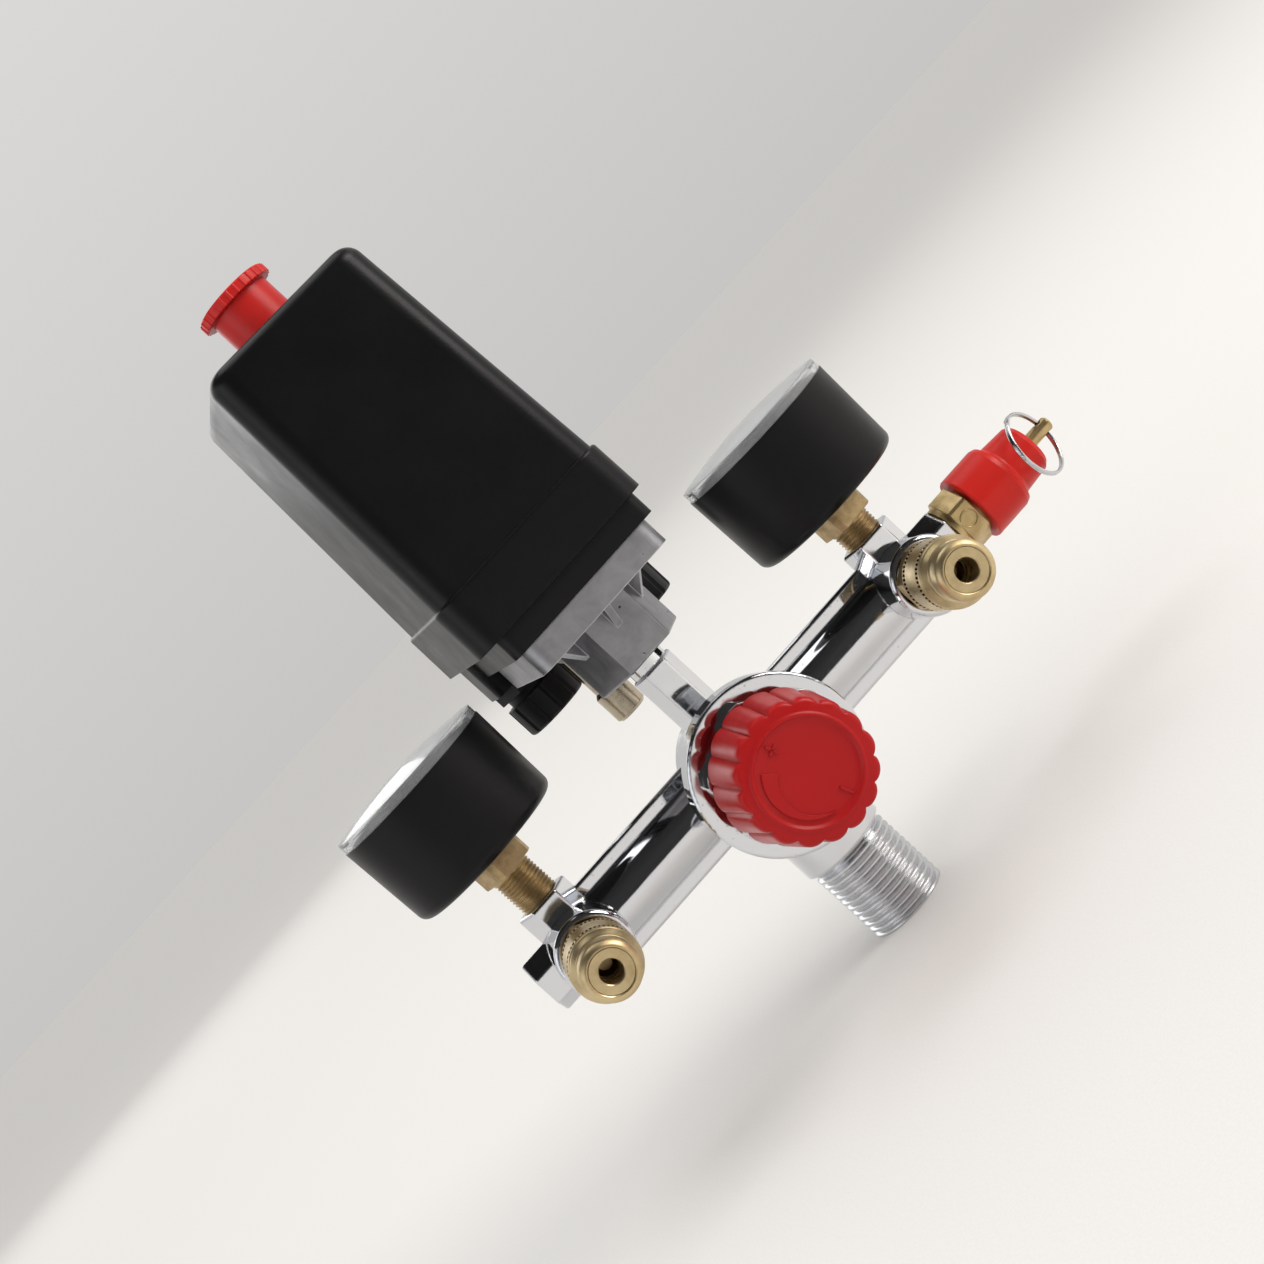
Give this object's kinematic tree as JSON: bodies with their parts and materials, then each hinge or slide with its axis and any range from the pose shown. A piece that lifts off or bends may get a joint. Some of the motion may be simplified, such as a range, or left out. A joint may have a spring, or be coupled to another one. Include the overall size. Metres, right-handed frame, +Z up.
{
  "type": "pressure switch",
  "caption": "Air compressor pressure switch on a chromed manifold with a regulator, gauges, quick couplers and a safety valve with a pull ring.",
  "frame": {"origin": "on the axis of the tank thread, at the end face of the thread", "axes": "+Z up from the tank thread to the switch button, +X along the manifold to the safety valve, -Y the front with the regulator knob and the couplers"},
  "size_m": [0.1821, 0.1048, 0.2062],
  "materials": {
    "chrome_casting": "bright chrome plate on die-cast zinc",
    "chrome_bonnet": "bright chrome plate",
    "red_knob": "moulded, glossy",
    "zinc_plated_steel": "bright zinc plate",
    "black_rubber": "moulded",
    "spring_steel": "drawn wire",
    "turned_brass": "turned and polished",
    "ball_steel": "ground and polished",
    "red_cap": "moulded",
    "gauge_black": "moulded, satin",
    "clear_lens": "clear moulded acrylic",
    "dial_white": "white enamel",
    "stem_brass": "as machined",
    "needle_black": "black paint",
    "raw_zinc": "raw die-cast zinc",
    "base_black": "moulded, satin",
    "cover_black": "moulded, satin",
    "red_button": "moulded",
    "white_moulding": "moulded",
    "frame_steel": "stamped, zinc plated",
    "copper_contact": "stamped copper alloy",
    "black_nylon": "moulded nylon"
  },
  "bodies": {
    "unit": {"cable_glands": "black_nylon", "contact_block": "white_moulding", "coupler_balls": "ball_steel", "coupler_body_left": "turned_brass", "coupler_body_right": "turned_brass", "coupler_seals": "black_rubber", "coupler_valve_springs": "spring_steel", "cover_post": "frame_steel", "cover_screw": "zinc_plated_steel", "diaphragm_plate": "zinc_plated_steel", "flange_screws": "zinc_plated_steel", "gauge_case_left": "gauge_black", "gauge_case_right": "gauge_black", "gauge_dial_left": "dial_white", "gauge_dial_right": "dial_white", "gauge_lens_left": "clear_lens", "gauge_lens_right": "clear_lens", "gauge_movement_left": "stem_brass", "gauge_movement_right": "stem_brass", "gauge_stem_left": "stem_brass", "gauge_stem_right": "stem_brass", "gland_nuts": "black_nylon", "lever_pin": "frame_steel", "main_adjusting_screw": "zinc_plated_steel", "main_spring": "spring_steel", "main_spring_nut": "zinc_plated_steel", "manifold_casting": "chrome_casting", "poppet_spring": "spring_steel", "regulator_bonnet": "chrome_bonnet", "regulator_diaphragm": "black_rubber", "regulator_spring": "spring_steel", "regulator_valve_seat": "turned_brass", "safety_valve_body": "turned_brass", "safety_valve_cap": "red_cap", "safety_valve_spring": "spring_steel", "sleeve_springs": "spring_steel", "switch_base": "base_black", "switch_cover": "cover_black", "switch_diaphragm": "black_rubber", "switch_flange": "raw_zinc", "switch_frame": "frame_steel", "terminal_screws": "zinc_plated_steel", "unloader_valve": "turned_brass"},
    "knob": {"regulator_knob": "red_knob", "adjusting_screw": "zinc_plated_steel"},
    "nut_plate": {"nut_plate": "zinc_plated_steel"},
    "poppet": {"regulator_poppet": "turned_brass"},
    "sleeve_left": {"coupler_sleeve_left": "turned_brass"},
    "sleeve_right": {"coupler_sleeve_right": "turned_brass"},
    "coupler_valve_left": {"coupler_valve_left": "turned_brass"},
    "coupler_valve_right": {"coupler_valve_right": "turned_brass"},
    "safety_stem": {"safety_valve_stem": "turned_brass", "safety_valve_seal": "black_rubber"},
    "ring": {"pull_ring": "spring_steel"},
    "needle_left": {"gauge_needle_left": "needle_black"},
    "needle_right": {"gauge_needle_right": "needle_black"},
    "button": {"on_off_button": "red_button", "contact_bridge": "copper_contact"},
    "plunger": {"pressure_plunger": "white_moulding"},
    "lever": {"main_lever": "frame_steel"}
  },
  "joints": [
    {"name": "knob_turn", "type": "hinge", "parent": "unit", "child": "knob", "pos_m": [0, -0.05, 0.05], "axis": [0, 1, 0], "range_deg": [0, 1080]},
    {"name": "nut_plate_slide", "type": "slide", "parent": "unit", "child": "nut_plate", "axis": [0, 1, 0], "range_m": [0, 0.00376]},
    {"name": "poppet_slide", "type": "slide", "parent": "unit", "child": "poppet", "axis": [0, 1, 0], "range_m": [0, 0.001], "stiffness_N_per_m": 600},
    {"name": "sleeve_left_slide", "type": "slide", "parent": "unit", "child": "sleeve_left", "axis": [0, 1, 0], "range_m": [0, 0.0018], "stiffness_N_per_m": 1500},
    {"name": "sleeve_right_slide", "type": "slide", "parent": "unit", "child": "sleeve_right", "axis": [0, 1, 0], "range_m": [0, 0.0018], "stiffness_N_per_m": 1500},
    {"name": "coupler_valve_left_slide", "type": "slide", "parent": "unit", "child": "coupler_valve_left", "axis": [0, 1, 0], "range_m": [0, 0.0025], "stiffness_N_per_m": 600},
    {"name": "coupler_valve_right_slide", "type": "slide", "parent": "unit", "child": "coupler_valve_right", "axis": [0, 1, 0], "range_m": [0, 0.0025], "stiffness_N_per_m": 600},
    {"name": "safety_stem_slide", "type": "slide", "parent": "unit", "child": "safety_stem", "axis": [1, 0, 0], "range_m": [0, 0.002], "stiffness_N_per_m": 3000},
    {"name": "ring_swing", "type": "hinge", "parent": "safety_stem", "child": "ring", "pos_m": [0.1032, 0, 0.05], "axis": [0, 0, 1], "range_deg": [0, 270]},
    {"name": "needle_left_turn", "type": "hinge", "parent": "unit", "child": "needle_left", "pos_m": [-0.0554, 0, 0.0994], "axis": [0, 0, -1], "range_deg": [0, 270], "stiffness_Nm_per_rad": 0.0004},
    {"name": "needle_right_turn", "type": "hinge", "parent": "unit", "child": "needle_right", "pos_m": [0.0554, 0, 0.0947], "axis": [0, 0, -1], "range_deg": [0, 270], "stiffness_Nm_per_rad": 0.0004},
    {"name": "button_slide", "type": "slide", "parent": "unit", "child": "button", "axis": [0, 0, 1], "range_m": [-0.005, 0]},
    {"name": "plunger_slide", "type": "slide", "parent": "unit", "child": "plunger", "axis": [0, 0, 1], "range_m": [0, 0.00121], "deforming": ["main_spring"]},
    {"name": "lever_turn", "type": "hinge", "parent": "unit", "child": "lever", "pos_m": [-0.00142, 0.01242, 0.1154], "axis": [-0.9936, -0.1132, 0], "range_deg": [0, 5.5], "stiffness_Nm_per_rad": 2}
  ],
  "couplings": [
    {"joint": "nut_plate_slide", "follows": "knob_turn", "m_per_rad": 0.00019894},
    {"joint": "plunger_slide", "follows": "lever_turn", "m_per_rad": 0.0125}
  ]
}
